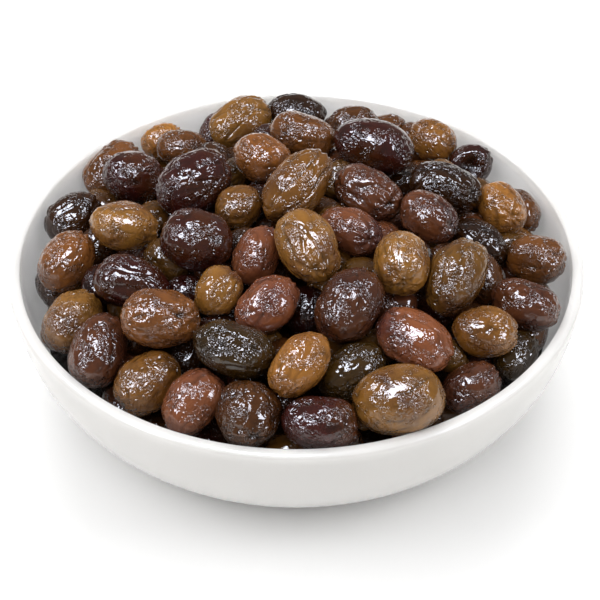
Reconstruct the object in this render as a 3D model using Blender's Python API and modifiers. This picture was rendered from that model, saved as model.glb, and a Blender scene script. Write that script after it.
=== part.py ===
"""A round white bowl heaped with whole wrinkled olives, modelled for Blender 4.5 in metres, +Z up.

The origin is the centre of the foot's underside. The bowl is one turned solid. The olives are one
solid: a low core that fills the bowl, with every olive that shows fused onto it.
"""

import math

import bmesh
import bpy
import numpy as np
from mathutils import Matrix

MM = 0.001

# Bowl
RIM_RADIUS = 100 * MM
BOWL_HEIGHT = 55 * MM
LIP_WIDTH = 4.3 * MM
LIP_OUTER_ROUND = 1.2 * MM
LIP_INNER_ROUND = 0.6 * MM
LIP_REACH = 3 * MM  # how far the lip's rounding reaches down the inside
WALL_THICKNESS = 4.4 * MM
WALL_LEAN = 0.137  # inward run for each unit of drop, all the way down
WALL_CURL = 5.9 * MM  # further inward run at CURL_DEPTH below the rim, which grows as CURL_POWER
CURL_DEPTH = 30 * MM
CURL_POWER = 2.82
WALL_DROP = 48 * MM  # from the widest line down to where the underside begins
FOOT_RADIUS = 56 * MM
FOOT_WIDTH = 4 * MM
FOOT_DEPTH = 2 * MM
FOOT_ROUND = 0.8 * MM
FOOT_FLARE = 1.5 * MM  # from the foot's side out to the underside
FLOOR_THICKNESS = 5 * MM
FLOOR_FILLET = 4 * MM  # either side of the foot's radius, where the floor turns up
FLOOR_LIFT = 0.3 * MM  # how high the floor is where its fillet ends
BOWL_SEGMENTS = 48
WALL_STEPS = 6
WALL_SPACING = 0.8  # under 1 sets the wall's points closer together near the foot

# The photograph's view, which tells where each olive lies
PICTURE_CENTRE = 300.0
PICTURE_FOCUS = 2446.0  # focal length in pixels
VIEW_DISTANCE = 850 * MM
VIEW_ELEVATION = math.radians(39.49)
AIM_RIGHT = 1.3 * MM
AIM_FRONT = 23.1 * MM

# The heap: how high above the rim the middles of its top olives lie
HEAP_EDGE = -2 * MM
HEAP_RISE = 24 * MM
HEAP_RADIUS = 86 * MM
HEAP_POWER = 2.2
HEAP_BACK_TILT = 0.03

# What each column of SHOWN_OLIVES holds, as read off the photograph: the olive's middle in pixels
# across and down, its length and width in millimetres, how far its long axis turns up from
# level in degrees, and how far it lies above or below the heap's even surface in millimetres
ACROSS, DOWN, LENGTH, WIDTH, TURN, RISE = range(6)
SHOWN_OLIVES = (
    (212, 121, 15, 13, 60, 1),
    (239, 124, 26, 19, 35, 0),
    (297, 114, 22, 17, -12, 1),
    (302, 136, 25, 17, -18, 1),
    (353, 128, 20, 17, 0, 0),
    (386, 128, 17, 13, 10, -2),
    (374, 146, 29, 20, -18, 2),
    (414, 144, 18, 14, -70, -2),
    (432, 141, 19, 16, -40, 2),
    (470, 165, 17, 15, 30, -1),
    (446, 188, 26, 19, -20, 1),
    (502, 208, 20, 17, -55, 2),
    (519, 211, 18, 16, -60, -3),
    (536, 259, 21, 18, -8, 0),
    (428, 217, 22, 17, -40, 1),
    (368, 193, 26, 19, -35, 1),
    (351, 231, 23, 16, -28, 0),
    (297, 186, 31, 19, 52, 3),
    (262, 159, 21, 18, -30, 1),
    (239, 207, 17, 16, 20, -3),
    (193, 183, 28, 22, 38, 2),
    (197, 240, 25, 21, -10, 2),
    (134, 176, 22, 19, -10, 0),
    (107, 166, 24, 18, 45, -1),
    (181, 148, 18, 15, -5, -2),
    (163, 141, 16, 14, 45, -2),
    (73, 218, 22, 17, 45, -2),
    (124, 226, 24, 18, -8, 2),
    (67, 261, 23, 18, 58, 1),
    (97, 246, 16, 13, 60, -10),
    (131, 283, 26, 19, -18, 0),
    (169, 261, 18, 15, -40, -9),
    (186, 293, 15, 13, 0, -9),
    (55, 288, 18, 13, -60, -8),
    (73, 322, 23, 19, 60, -1),
    (99, 351, 26, 19, 72, 1),
    (161, 318, 27, 20, -3, 2),
    (148, 382, 24, 19, 42, -1),
    (193, 402, 24, 18, 50, -2),
    (218, 292, 18, 16, 60, 0),
    (257, 255, 21, 16, 65, -2),
    (308, 247, 27, 21, -62, 3),
    (362, 277, 17, 14, 0, -6),
    (402, 263, 22, 19, 92, 2),
    (349, 306, 27, 21, 57, 2),
    (267, 306, 24, 18, 42, 1),
    (307, 311, 18, 14, 80, -11),
    (234, 349, 27, 20, -20, 2),
    (300, 365, 24, 17, 52, 3),
    (352, 371, 24, 17, 32, -2),
    (414, 340, 28, 20, -32, 2),
    (456, 277, 28, 19, 66, 2),
    (484, 279, 19, 14, -75, -4),
    (479, 243, 21, 16, -35, -4),
    (511, 247, 13, 11, 0, -8),
    (526, 305, 24, 17, -18, 1),
    (485, 332, 22, 17, -3, 1),
    (516, 356, 18, 14, 50, -3),
    (473, 389, 21, 17, 30, 0),
    (399, 402, 30, 23, 8, 0),
    (321, 424, 25, 19, -8, -2),
    (249, 415, 22, 21, 80, -2),
    (434, 304, 16, 13, -50, -7),
    (337, 180, 15, 12, 60, -9),
    (231, 178, 15, 12, 60, -10),
    (404, 184, 15, 12, 0, -9),
    (188, 357, 16, 13, 70, -9),
)
LYING_LEAN = math.radians(20)  # how far an olive that points up the picture lies back
OLIVE_PRESSING = 0.4 * MM  # how far neighbours press into each other
OLIVE_WALL_GAP = 0.7 * MM
SETTLE_ROUNDS = 120
SETTLE_LIMIT = 5 * MM
SETTLE_STEP = 0.25  # share of an overlap that one round takes away
SIDEWAYS_SHARE = 0.25  # how much of a push may move an olive across the view
SIGHT_PULL = 0.3  # share of a move off its line of sight that an olive loses each round

# Olives that the photograph hides, in the room behind and under the shown ones
FILL_DEPTHS = (0, 4 * MM, 8 * MM)
FILL_TRIES = 4000
FILL_LENGTH = (15 * MM, 24 * MM)
FILL_SLIMNESS = 0.8
FILL_SQUEEZE = 2.2 * MM  # how far one may press into its neighbours
FILL_OVERLAP = 0.4  # share of a shown olive's half width that one may stand before
FILL_SEED = 11
LEVEL_BLUR = 6 * MM

OLIVE_SIDES = (10, 6)  # around and along a shown olive
FILL_SIDES = (6, 5)
CORE_DEPTH = 5.5 * MM  # below the middles of the olives over it
CORE_EDGE_HEIGHT = 40 * MM
CORE_RING = 12 * MM
CORE_GAP = 0.5 * MM
CORE_EDGE_MARGIN = 1 * MM  # tells the core's top points from those of its edge
CORE_SEGMENTS = 22


def outer_radius(drop):
    """The outside wall's radius at a depth below the widest line."""
    return RIM_RADIUS - WALL_LEAN * drop - WALL_CURL * (drop / CURL_DEPTH) ** CURL_POWER


def wall_run(thickness):
    """Points (radius, height) down the wall, set inwards from its outside by a thickness."""
    widest = BOWL_HEIGHT - LIP_OUTER_ROUND
    points = []
    for step in range(WALL_STEPS + 1):
        drop = WALL_DROP * (step / WALL_STEPS) ** WALL_SPACING
        slope = WALL_LEAN + WALL_CURL * CURL_POWER / CURL_DEPTH * (drop / CURL_DEPTH) ** (CURL_POWER - 1)
        length = math.hypot(1, slope)
        points.append((outer_radius(drop) - thickness / length, widest - drop + thickness * slope / length))
    return points


def quarter_round(centre_radius, centre_height, radius, start_deg, steps=2):
    """Points of a quarter circle, turning anticlockwise from a starting angle."""
    angles = [math.radians(start_deg + 90 * step / steps) for step in range(steps + 1)]
    return [(centre_radius + radius * math.cos(a), centre_height + radius * math.sin(a)) for a in angles]


def inner_radius(height):
    """The inside wall's radius at a height, read between the points of its run."""
    run = [(z, r) for r, z in wall_run(WALL_THICKNESS)][::-1]
    return np.interp(height, [z for z, _ in run], [r for _, r in run])


def bowl_profile():
    """The bowl's whole section, from the axis under the foot round to the axis inside."""
    inner_edge = RIM_RADIUS - LIP_WIDTH
    recess = FOOT_RADIUS - FOOT_WIDTH
    outer, inner = LIP_OUTER_ROUND, LIP_INNER_ROUND
    foot = [
        (recess - FOOT_ROUND, FOOT_DEPTH),
        (recess, FOOT_ROUND),
        (recess + FOOT_ROUND, 0),
        (FOOT_RADIUS - FOOT_ROUND, 0),
        (FOOT_RADIUS, FOOT_ROUND),
        (FOOT_RADIUS + FOOT_FLARE, FOOT_DEPTH),
    ]
    return (
        [(0, FOOT_DEPTH)]
        + foot
        + wall_run(0)[:0:-1]
        + quarter_round(RIM_RADIUS - outer, BOWL_HEIGHT - outer, outer, 0)
        + quarter_round(inner_edge + inner, BOWL_HEIGHT - inner, inner, 90)
        + [point for point in wall_run(WALL_THICKNESS) if point[1] < BOWL_HEIGHT - LIP_REACH]
        + floor_run(0)
    )


def floor_run(clearance):
    """Points over the floor inside the bowl, from its fillet to the axis, raised by a clearance."""
    floor = FOOT_DEPTH + FLOOR_THICKNESS + clearance
    return [(FOOT_RADIUS + FLOOR_FILLET, floor + FLOOR_LIFT), (FOOT_RADIUS - FLOOR_FILLET, floor), (0, floor)]


def unit(vector):
    """A vector's direction."""
    return np.asarray(vector) / np.linalg.norm(vector)


def picture_view():
    """The camera's place and the directions that are right, up and forward in the photograph."""
    rim = np.array((0, 0, BOWL_HEIGHT))
    eye = rim + VIEW_DISTANCE * np.array((0, -math.cos(VIEW_ELEVATION), math.sin(VIEW_ELEVATION)))
    forward = unit(rim + (AIM_RIGHT, -AIM_FRONT, 0) - eye)
    right = unit(np.cross(forward, (0, 0, 1)))
    return eye, right, np.cross(right, forward), forward


def heap_height(point):
    """The height of the top olives' middles over a point of the plan."""
    share = min(math.hypot(point[0], point[1]) / HEAP_RADIUS, 1)
    return BOWL_HEIGHT + HEAP_EDGE + HEAP_RISE * (1 - share**HEAP_POWER) - HEAP_BACK_TILT * point[1]


def meet_heap(eye, ray, rise):
    """Where a line of sight comes down to a height above the heap's even surface."""
    near, far = 0.5 * VIEW_DISTANCE, 1.5 * VIEW_DISTANCE
    for _ in range(40):
        middle = 0.5 * (near + far)
        point = eye + middle * ray
        if point[2] > heap_height(point) + rise:
            near = middle
        else:
            far = middle
    return eye + near * ray


def shown_olives():
    """The places, axes, half sizes and lines of sight of the olives that the photograph shows."""
    eye, right, up, forward = picture_view()
    places, axes, halves, rays = [], [], [], []
    for olive in SHOWN_OLIVES:
        offset = right * (olive[ACROSS] - PICTURE_CENTRE) - up * (olive[DOWN] - PICTURE_CENTRE)
        ray = unit(forward * PICTURE_FOCUS + offset)
        turn = math.radians(olive[TURN])
        lying_up = up * math.cos(LYING_LEAN) + forward * math.sin(LYING_LEAN)
        places.append(meet_heap(eye, ray, olive[RISE] * MM))
        axes.append(unit(right * math.cos(turn) + lying_up * math.sin(turn)))
        halves.append((0.5 * olive[LENGTH] * MM, 0.5 * olive[WIDTH] * MM))
        rays.append(ray)
    return np.array(places), np.array(axes), np.array(halves), np.array(rays)


def reach(axes, halves, directions):
    """How far each spheroid reaches from its middle in a direction."""
    along = np.sum(axes * directions, axis=-1)
    long_half, wide_half = halves[..., 0], halves[..., 1]
    return np.sqrt(wide_half**2 + (long_half**2 - wide_half**2) * along**2)


def crowding(places, axes, halves, rays):
    """The moves that take overlapping olives apart, mostly along the line of sight."""
    apart = places[:, None] - places[None]
    distance = np.linalg.norm(apart, axis=2) + np.eye(len(places))
    towards = apart / distance[..., None]
    first_reach = reach(axes[:, None], halves[:, None], towards)
    overlap = np.clip(first_reach + first_reach.T - OLIVE_PRESSING - distance, 0, None)
    np.fill_diagonal(overlap, 0)
    nearness = -np.sum(towards * rays[:, None], axis=2)
    across = towards + nearness[..., None] * rays[:, None]
    nearer = -np.where(nearness > 0, 1, -1)[..., None] * rays[:, None]
    return SETTLE_STEP * np.sum(overlap[..., None] * (SIDEWAYS_SHARE * across + nearer), axis=1)


def sphere_points(segments=24, rings=17):
    """Points spread over a sphere of radius 1."""
    around = np.linspace(0, 2 * math.pi, segments, endpoint=False)[:, None]
    down = np.linspace(0, math.pi, rings)[None]
    points = np.broadcast_arrays(np.sin(down) * np.cos(around), np.sin(down) * np.sin(around), np.cos(down))
    return np.stack(points, axis=-1).reshape(-1, 3)


def olive_frame(axis):
    """Three directions at right angles, as columns, with an olive's axis last."""
    side = unit(np.cross(axis, (0.3, 0.2, 1)))
    return np.column_stack((side, np.cross(axis, side), axis))


def olive_surface(place, axis, half, ball):
    """Points on an olive's surface."""
    return place + (ball * (half[1], half[1], half[0])) @ olive_frame(axis).T


def wall_push(surface):
    """The move that takes an olive out of the bowl's wall, inwards or up over the lip."""
    radius = np.hypot(surface[:, 0], surface[:, 1])
    inwards = radius - inner_radius(surface[:, 2]) + OLIVE_WALL_GAP
    upwards = BOWL_HEIGHT + OLIVE_WALL_GAP - surface[:, 2]
    depth = np.minimum(inwards, upwards)
    worst = int(np.argmax(depth))
    if depth[worst] <= 0:
        return np.zeros(3)
    if inwards[worst] <= upwards[worst]:
        return np.append(-inwards[worst] * surface[worst, :2] / radius[worst], 0)
    return np.array((0, 0, upwards[worst]))


def settle(places, axes, halves, rays):
    """Let the shown olives find room beside each other and inside the bowl."""
    ball = sphere_points()
    start = places
    for _ in range(SETTLE_ROUNDS):
        moved = places + crowding(places, axes, halves, rays) - start
        along = np.sum(moved * rays, axis=1, keepdims=True) * rays
        moved -= SIGHT_PULL * (moved - along)
        distance = np.linalg.norm(moved, axis=1, keepdims=True)
        places = start + moved * np.minimum(1, SETTLE_LIMIT / np.maximum(distance, SETTLE_LIMIT))
        for index, place in enumerate(places):
            surface = olive_surface(place, axes[index], halves[index], ball)
            places[index] = place + wall_push(surface)
    return places


def heap_level(spots, places):
    """The height of the olives' middles round points of the plan, led by the nearest ones."""
    away = np.linalg.norm(np.asarray(spots)[:, None] - places[None, :, :2], axis=2)
    weight = 1 / (away**2 + LEVEL_BLUR**2) ** 2
    return weight @ places[:, 2] / weight.sum(axis=1)


def hides_olive(eye, place, half, shown, shown_halves):
    """Whether an olive stands before a shown one in the photograph."""
    sight = shown - eye
    far = np.linalg.norm(sight, axis=1)
    along = sight @ (place - eye) / far
    beside = np.linalg.norm(place - eye - sight * (along / far)[:, None], axis=1)
    return bool(np.any((beside < half[1] + (1 - FILL_OVERLAP) * shown_halves[:, 1]) & (along < far)))


def fill_olives(shown, axes, halves):
    """The shown olives with those that the photograph hides, set where there is room behind them."""
    random = np.random.default_rng(FILL_SEED)
    eye = picture_view()[0]
    ball = sphere_points()
    places, sizes = shown, halves
    for depth in FILL_DEPTHS:
        for _ in range(FILL_TRIES):
            spot = random.uniform(-HEAP_RADIUS, HEAP_RADIUS, 2)
            turn, lean = random.uniform(0, math.pi), random.uniform(-0.4, 0.4)
            length = random.uniform(*FILL_LENGTH)
            place = np.append(spot, heap_level([spot], shown)[0] - depth)
            axis = unit((math.cos(turn), math.sin(turn), lean))
            half = np.array((length, length * FILL_SLIMNESS)) / 2
            apart = place - places
            distance = np.linalg.norm(apart, axis=1)
            towards = apart / distance[:, None]
            room = distance - reach(axes, sizes, towards) - reach(axis, half, towards)
            if room.min() < -FILL_SQUEEZE or hides_olive(eye, place, half, shown, halves):
                continue
            if not wall_push(olive_surface(place, axis, half, ball)).any():
                places = np.vstack((places, place))
                axes = np.vstack((axes, axis))
                sizes = np.vstack((sizes, half))
    return places, axes, sizes


def material(name, colour, roughness):
    """A plain Principled material."""
    made = bpy.data.materials.new(name)
    made.use_nodes = True
    shader = made.node_tree.nodes["Principled BSDF"]
    shader.inputs["Base Color"].default_value = (*colour, 1)
    shader.inputs["Roughness"].default_value = roughness
    shader.inputs["Metallic"].default_value = 0
    return made


def add_object(name, mesh, collection, finish=None):
    """Put a mesh in a collection as a named object."""
    made = bpy.data.objects.new(name, mesh)
    if finish:
        mesh.materials.append(finish)
    collection.objects.link(made)
    return made


def evaluated_mesh(source):
    """An object's mesh with its modifiers applied."""
    depsgraph = bpy.context.evaluated_depsgraph_get()
    return bpy.data.meshes.new_from_object(source.evaluated_get(depsgraph), depsgraph=depsgraph)


def turned(name, profile, segments, collection, finish):
    """A solid turned about the upright axis from a profile that runs down its outer side."""
    mesh = bpy.data.meshes.new(name)
    edges = [(index, index + 1) for index in range(len(profile) - 1)]
    mesh.from_pydata([(radius, 0, height) for radius, height in profile], edges, [])
    made = add_object(name, mesh, collection, finish)
    screw = made.modifiers.new("Turn", "SCREW")
    screw.steps = segments
    screw.render_steps = segments
    screw.use_merge_vertices = True
    screw.merge_threshold = 0.01 * MM
    screw.use_smooth_shade = True
    return made


def core_profile():
    """The core's section, flat at the lip's height on top, from the axis down its outer side."""
    top = [(radius, BOWL_HEIGHT) for radius in np.arange(0, HEAP_RADIUS, CORE_RING)]
    edge = (inner_radius(CORE_EDGE_HEIGHT) - CORE_GAP, CORE_EDGE_HEIGHT)
    wall = [(r - CORE_GAP, z) for r, z in wall_run(WALL_THICKNESS) if z < CORE_EDGE_HEIGHT - CORE_EDGE_MARGIN]
    return top + [edge] + wall + floor_run(CORE_GAP)


def make_core(places, collection, finish):
    """The solid that carries the olives: it fills the bowl, and its top follows their middles."""
    core = turned("olive_heap", core_profile(), CORE_SEGMENTS, collection, finish)
    core.data = evaluated_mesh(core)
    core.modifiers.clear()
    for vert in core.data.vertices:
        if vert.co.z > CORE_EDGE_HEIGHT + CORE_EDGE_MARGIN:
            vert.co.z = heap_level([vert.co.to_tuple()[:2]], places)[0] - CORE_DEPTH
    return core


def olive_piece(place, axis, half, sides, collection):
    """One olive as a spheroid with few sides."""
    shape = bmesh.new()
    bmesh.ops.create_uvsphere(shape, u_segments=sides[0], v_segments=sides[1], radius=1)
    turn = Matrix(olive_frame(axis).tolist()).to_4x4()
    size = Matrix.Diagonal((half[1], half[1], half[0], 1))
    shape.transform(Matrix.Translation(place) @ turn @ size)
    mesh = bpy.data.meshes.new("olive")
    shape.to_mesh(mesh)
    shape.free()
    return add_object("olive", mesh, collection)


def keep_outer_shell(mesh):
    """Drop loose scraps and the walls of sealed hollows, which leaves the largest shell."""
    shape = bmesh.new()
    shape.from_mesh(mesh)
    left = set(shape.verts)
    shells = []
    while left:
        shell, edge_verts = set(), [left.pop()]
        while edge_verts:
            vert = edge_verts.pop()
            shell.add(vert)
            for edge in vert.link_edges:
                other = edge.other_vert(vert)
                if other in left:
                    left.remove(other)
                    edge_verts.append(other)
        shells.append(shell)
    largest = max(shells, key=len)
    bmesh.ops.delete(shape, geom=[v for v in shape.verts if v not in largest], context="VERTS")
    shape.to_mesh(mesh)
    shape.free()


def make_bowl(collection):
    """The turned bowl."""
    finish = material("glazed_porcelain", (0.86, 0.85, 0.83), 0.15)
    return turned("dish", bowl_profile()[::-1], BOWL_SEGMENTS, collection, finish)


def make_heap(collection, pieces):
    """The core with every olive fused onto it."""
    shown, axes, halves, rays = shown_olives()
    shown = settle(shown, axes, halves, rays)
    places, axes, halves = fill_olives(shown, axes, halves)
    heap = make_core(shown, collection, material("olive_skin", (0.09, 0.045, 0.025), 0.35))
    for index, place in enumerate(places):
        sides = OLIVE_SIDES if index < len(shown) else FILL_SIDES
        olive_piece(place, axes[index], halves[index], sides, pieces)
    fuse = heap.modifiers.new("Fuse olives", "BOOLEAN")
    fuse.operation = "UNION"
    fuse.operand_type = "COLLECTION"
    fuse.collection = pieces
    fuse.solver = "EXACT"
    heap.data = evaluated_mesh(heap)
    heap.modifiers.clear()
    for piece in list(pieces.objects):
        bpy.data.objects.remove(piece)
    keep_outer_shell(heap.data)
    heap.data.shade_smooth()
    return heap


def main():
    """Build the part in an empty scene."""
    for old in list(bpy.data.objects):
        bpy.data.objects.remove(old)
    part = bpy.data.collections.new("dish_of_olives")
    pieces = bpy.data.collections.new("olive_pieces")
    bpy.context.scene.collection.children.link(part)
    bpy.context.scene.collection.children.link(pieces)
    make_bowl(part)
    make_heap(part, pieces)


main()
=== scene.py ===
"""Looks for a white porcelain bowl heaped with wrinkled, oil-dressed olives.

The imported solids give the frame. The bowl is turned again with a finer wall, and the heap is made of
separate olives in the same places as the solids', over a core of its own.
"""

import logging
import math
from collections.abc import Callable, Sequence
from dataclasses import dataclass, field, replace
from enum import Enum
from functools import partial
from itertools import pairwise

import bpy
import numpy as np
from mathutils import Matrix, Vector, noise

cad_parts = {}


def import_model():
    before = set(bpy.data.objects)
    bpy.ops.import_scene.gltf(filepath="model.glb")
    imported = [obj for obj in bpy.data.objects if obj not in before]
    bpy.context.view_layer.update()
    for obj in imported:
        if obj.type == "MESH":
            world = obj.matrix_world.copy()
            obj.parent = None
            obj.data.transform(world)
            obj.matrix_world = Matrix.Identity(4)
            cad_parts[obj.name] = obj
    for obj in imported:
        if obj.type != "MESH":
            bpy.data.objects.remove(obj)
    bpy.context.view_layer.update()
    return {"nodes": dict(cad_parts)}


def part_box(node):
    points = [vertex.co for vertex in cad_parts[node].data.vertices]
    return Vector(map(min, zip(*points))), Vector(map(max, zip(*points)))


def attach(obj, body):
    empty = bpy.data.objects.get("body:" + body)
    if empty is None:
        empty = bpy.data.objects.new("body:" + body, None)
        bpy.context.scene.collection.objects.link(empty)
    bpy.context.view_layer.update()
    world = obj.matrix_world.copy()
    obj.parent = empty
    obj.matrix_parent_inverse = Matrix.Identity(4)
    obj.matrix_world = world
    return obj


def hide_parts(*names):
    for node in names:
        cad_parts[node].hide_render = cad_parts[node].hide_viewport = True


MM = 0.001
SOLID_WALL_STEPS = 6  # the solid bowl's wall has this many, and its olives were placed against them
LARGEST_LIE = 100  # a turn over this many degrees sets an olive with its other end first
LOG = logging.getLogger("dish_of_olives")

Point = tuple[float, float]
Array = np.ndarray
Socket = bpy.types.NodeSocket
NodeAdder = Callable[..., bpy.types.Node]


class Ripeness(Enum):
    """The colour kinds of olive in the bowl, from the least to the most ripe."""

    KHAKI = "khaki"
    GOLDEN = "golden"
    CHESTNUT = "chestnut"
    ROSY = "rosy"
    UMBER = "umber"
    AUBERGINE = "aubergine"
    BLACK = "black"


class Relief(Enum):
    """How an olive's skin has shrunk."""

    TAUT = "taut"
    FINE = "fine"
    DEEP = "deep"
    GROOVED = "grooved"
    HOLLOW = "hollow"


@dataclass(frozen=True)
class ShownOlive:
    """An olive that the photograph shows.

    across and down place its middle in pixels. length and width are in millimetres, turn is how far its
    long axis turns up from level in degrees, and rise is how far it lies above the heap's even surface
    in millimetres. tone runs from -1, the darkest of its kind, to 1, the lightest. dimple is where its
    stem dimple shows, as shares of its half size right of and above its middle.
    """

    across: float
    down: float
    length: float
    width: float
    turn: float
    rise: float
    kind: Ripeness
    tone: float
    relief: Relief = Relief.FINE
    dimple: Point | None = None

    @property
    def lie(self) -> float:
        """How far its long axis turns up from level, whichever of its ends comes first."""
        return self.turn - 180 if self.turn > LARGEST_LIE else self.turn


SHOWN_OLIVES = (
    ShownOlive(212, 121, 15, 13, 60, 1, Ripeness.AUBERGINE, 0.6),
    ShownOlive(239, 124, 26, 19, 35, 0, Ripeness.KHAKI, 0.1, Relief.DEEP),
    ShownOlive(297, 114, 22, 17, -12, 1, Ripeness.UMBER, -0.8),
    ShownOlive(302, 136, 25, 17, -18, 1, Ripeness.CHESTNUT, -0.3),
    ShownOlive(353, 128, 20, 17, 0, 0, Ripeness.UMBER, 0.3),
    ShownOlive(386, 128, 17, 13, 10, -2, Ripeness.CHESTNUT, -0.6),
    ShownOlive(374, 146, 29, 20, -18, 2, Ripeness.AUBERGINE, 0.1, Relief.TAUT),
    ShownOlive(414, 144, 18, 14, -70, -2, Ripeness.UMBER, 0.8),
    ShownOlive(432, 141, 19, 16, -40, 2, Ripeness.GOLDEN, 0.0),
    ShownOlive(470, 165, 17, 15, 30, -1, Ripeness.AUBERGINE, -0.2, Relief.HOLLOW),
    ShownOlive(446, 188, 26, 19, -20, 1, Ripeness.UMBER, -0.9, Relief.GROOVED, (0.68, -0.05)),
    ShownOlive(502, 208, 20, 17, -55, 2, Ripeness.GOLDEN, 0.5, dimple=(0.31, -0.2)),
    ShownOlive(519, 211, 18, 16, -60, -3, Ripeness.CHESTNUT, -0.4),
    ShownOlive(536, 259, 21, 18, -8, 0, Ripeness.CHESTNUT, -0.3),
    ShownOlive(428, 217, 22, 17, -40, 1, Ripeness.ROSY, -0.6, dimple=(0.65, -0.2)),
    ShownOlive(368, 193, 26, 19, -35, 1, Ripeness.ROSY, -0.6, Relief.GROOVED, (0.6, -0.27)),
    ShownOlive(351, 231, 23, 16, -28, 0, Ripeness.ROSY, -0.1, dimple=(0.53, -0.27)),
    ShownOlive(297, 186, 31, 19, 52, 3, Ripeness.GOLDEN, -0.4, Relief.GROOVED),
    ShownOlive(262, 159, 21, 18, -30, 1, Ripeness.CHESTNUT, 0.4),
    ShownOlive(239, 207, 17, 16, 20, -3, Ripeness.GOLDEN, -0.5),
    ShownOlive(193, 183, 28, 22, 38, 2, Ripeness.AUBERGINE, 0.1, Relief.GROOVED),
    ShownOlive(197, 240, 25, 21, -10, 2, Ripeness.AUBERGINE, 0.2),
    ShownOlive(134, 176, 22, 19, -10, 0, Ripeness.AUBERGINE, 0.4),
    ShownOlive(107, 166, 24, 18, 45, -1, Ripeness.CHESTNUT, -0.1),
    ShownOlive(181, 148, 18, 15, -5, -2, Ripeness.CHESTNUT, -0.3),
    ShownOlive(163, 141, 16, 14, 45, -2, Ripeness.GOLDEN, 0.6),
    ShownOlive(73, 218, 22, 17, 45, -2, Ripeness.UMBER, -0.6, Relief.DEEP),
    ShownOlive(124, 226, 24, 18, -8, 2, Ripeness.KHAKI, 0.5),
    ShownOlive(67, 261, 23, 18, 58, 1, Ripeness.CHESTNUT, 0.2),
    ShownOlive(97, 246, 16, 13, 60, -10, Ripeness.UMBER, -0.5),
    ShownOlive(131, 283, 26, 19, -18, 0, Ripeness.AUBERGINE, 0.0, Relief.DEEP),
    ShownOlive(169, 261, 18, 15, -40, -9, Ripeness.KHAKI, -0.9),
    ShownOlive(186, 293, 15, 13, 0, -9, Ripeness.AUBERGINE, -0.4),
    ShownOlive(55, 288, 18, 13, -60, -8, Ripeness.UMBER, -0.5),
    ShownOlive(73, 322, 23, 19, 60, -1, Ripeness.KHAKI, 0.1),
    ShownOlive(99, 351, 26, 19, 72, 1, Ripeness.ROSY, -0.8),
    ShownOlive(161, 318, 27, 20, -3, 2, Ripeness.CHESTNUT, 0.1, Relief.DEEP, (0.49, 0.1)),
    ShownOlive(148, 382, 24, 19, 222, -1, Ripeness.GOLDEN, -0.4),
    ShownOlive(193, 402, 24, 18, 50, -2, Ripeness.ROSY, 0.1),
    ShownOlive(218, 292, 18, 16, 60, 0, Ripeness.KHAKI, 0.3),
    ShownOlive(257, 255, 21, 16, 65, -2, Ripeness.ROSY, 0.1),
    ShownOlive(308, 247, 27, 21, 118, 3, Ripeness.KHAKI, 0.3, Relief.GROOVED, (0.1, -0.53)),
    ShownOlive(362, 277, 17, 14, 0, -6, Ripeness.KHAKI, -0.8),
    ShownOlive(402, 263, 22, 19, 272, 2, Ripeness.KHAKI, 0.4, dimple=(0.1, -0.62)),
    ShownOlive(349, 306, 27, 21, 57, 2, Ripeness.ROSY, -0.9),
    ShownOlive(267, 306, 24, 18, 42, 1, Ripeness.ROSY, 0.5),
    ShownOlive(307, 311, 18, 14, 80, -11, Ripeness.AUBERGINE, -0.9),
    ShownOlive(234, 349, 27, 20, -20, 2, Ripeness.BLACK, 0.0, Relief.DEEP),
    ShownOlive(300, 365, 24, 17, 232, 3, Ripeness.GOLDEN, 0.5),
    ShownOlive(352, 371, 24, 17, 32, -2, Ripeness.BLACK, 0.6),
    ShownOlive(414, 340, 28, 20, -32, 2, Ripeness.ROSY, 0.3, Relief.DEEP),
    ShownOlive(456, 277, 28, 19, 66, 2, Ripeness.KHAKI, -0.5, Relief.DEEP),
    ShownOlive(484, 279, 19, 14, -75, -4, Ripeness.UMBER, 0.3),
    ShownOlive(479, 243, 21, 16, -35, -4, Ripeness.UMBER, -0.9),
    ShownOlive(511, 247, 13, 11, 0, -8, Ripeness.KHAKI, -0.8),
    ShownOlive(526, 305, 24, 17, -18, 1, Ripeness.ROSY, -0.7),
    ShownOlive(485, 332, 22, 17, -3, 1, Ripeness.GOLDEN, -0.2),
    ShownOlive(516, 356, 18, 14, 50, -3, Ripeness.BLACK, 0.1),
    ShownOlive(473, 389, 21, 17, 30, 0, Ripeness.ROSY, -0.7),
    ShownOlive(399, 402, 30, 23, 188, 0, Ripeness.KHAKI, 0.0, Relief.TAUT),
    ShownOlive(321, 424, 25, 19, -8, -2, Ripeness.AUBERGINE, 0.5),
    ShownOlive(249, 415, 22, 21, 80, -2, Ripeness.UMBER, 0.2, Relief.DEEP, (0.16, -0.58)),
    ShownOlive(434, 304, 16, 13, -50, -7, Ripeness.AUBERGINE, -0.5),
    ShownOlive(337, 180, 15, 12, 60, -9, Ripeness.KHAKI, -0.8),
    ShownOlive(231, 178, 15, 12, 60, -10, Ripeness.KHAKI, -0.9),
    ShownOlive(404, 184, 15, 12, 0, -9, Ripeness.UMBER, -1.0),
    ShownOlive(188, 357, 16, 13, 70, -9, Ripeness.UMBER, -1.0),
)


def unit(vector: Sequence[float] | Array) -> Array:
    """A vector's direction."""
    return np.asarray(vector) / np.linalg.norm(vector)


def linear(code: str, alpha: float = 1.0) -> tuple[float, float, float, float]:
    """Turn an sRGB hex value to linear light.

    Args:
        code: the colour as "#RRGGBB".
        alpha: the fourth channel.

    Returns:
        The colour as linear red, green, blue and alpha.
    """
    channels = [int(code[place : place + 2], 16) / 255 for place in (1, 3, 5)]
    red, green, blue = [c / 12.92 if c <= 0.04045 else ((c + 0.055) / 1.055) ** 2.4 for c in channels]
    return red, green, blue, alpha


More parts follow.
